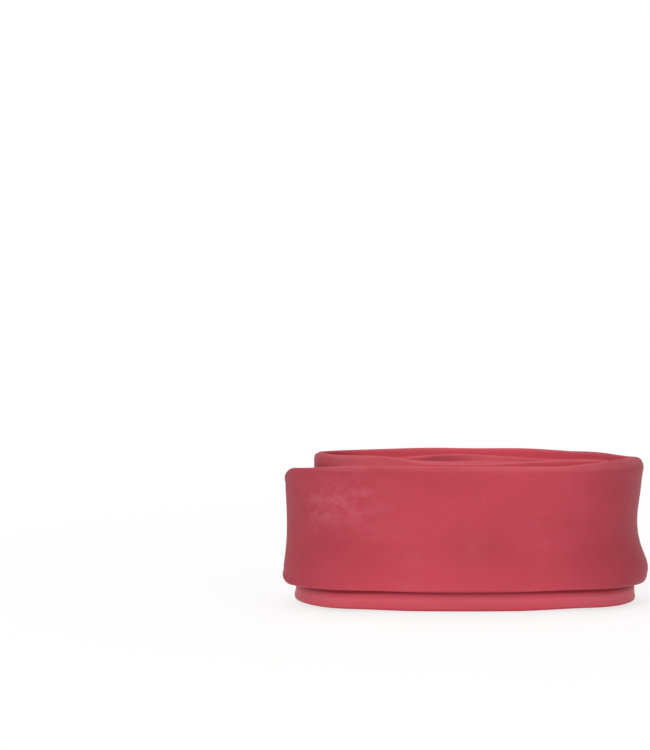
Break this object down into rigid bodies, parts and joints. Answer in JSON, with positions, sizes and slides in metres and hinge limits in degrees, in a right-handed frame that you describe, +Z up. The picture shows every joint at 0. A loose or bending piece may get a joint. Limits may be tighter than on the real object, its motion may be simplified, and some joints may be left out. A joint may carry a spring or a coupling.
{
  "type": "inner tube",
  "caption": "Deflated latex inner tube, doubled and rolled up flat, with a long slim removable-core valve and dust cap lying inside the roll.",
  "frame": {"origin": "middle of the roll's plan, at the height of the surface it stands on", "axes": "+X along the roll's long side, -Y towards the side with the loose end, +Z up across the tube's lay-flat width"},
  "size_m": [0.0938, 0.0369, 0.0387],
  "materials": {
    "latex": "matte, lightly dusted with talc",
    "valve_rubber": "matte",
    "stem_metal": "satin nickel plating",
    "core_brass": "turned brass",
    "seal_rubber": "matte",
    "cap_plastic": "moulded, fluted"
  },
  "bodies": {
    "roll": {"tube_roll": "latex", "valve_patch": "valve_rubber", "valve_base": "valve_rubber", "valve_stem": "stem_metal"},
    "free_end": {"tube_free_end": "latex"},
    "core": {"core_barrel": "core_brass", "core_gasket": "seal_rubber"},
    "nut": {"lock_nut": "core_brass"},
    "spindle": {"core_spindle": "core_brass", "plunger_cup": "core_brass", "plunger_seal": "seal_rubber"},
    "cap": {"dust_cap": "cap_plastic"}
  },
  "joints": [
    {"name": "free_end_peel", "type": "hinge", "parent": "roll", "child": "free_end", "pos_m": [0.03382, -0.01504, 0], "axis": [0, 0, 1], "range_deg": [0, 95]},
    {"name": "core_lift", "type": "slide", "parent": "roll", "child": "core", "axis": [0.7986, 0, 0.6018], "range_m": [0, 0.016]},
    {"name": "nut_turn", "type": "hinge", "parent": "core", "child": "nut", "pos_m": [0.00689, 0.00059, 0.03068], "axis": [0.7986, 0, 0.6018], "range_deg": [0, 1442]},
    {"name": "spindle_press", "type": "slide", "parent": "core", "child": "spindle", "axis": [0.7986, 0, 0.6018], "range_m": [-0.002, 0]},
    {"name": "cap_lift", "type": "slide", "parent": "core", "child": "cap", "axis": [0.7986, 0, 0.6018], "range_m": [0, 0.022]}
  ],
  "couplings": [
    {"joint": "nut_turn", "follows": "spindle_press", "rad_per_m": -12566}
  ]
}
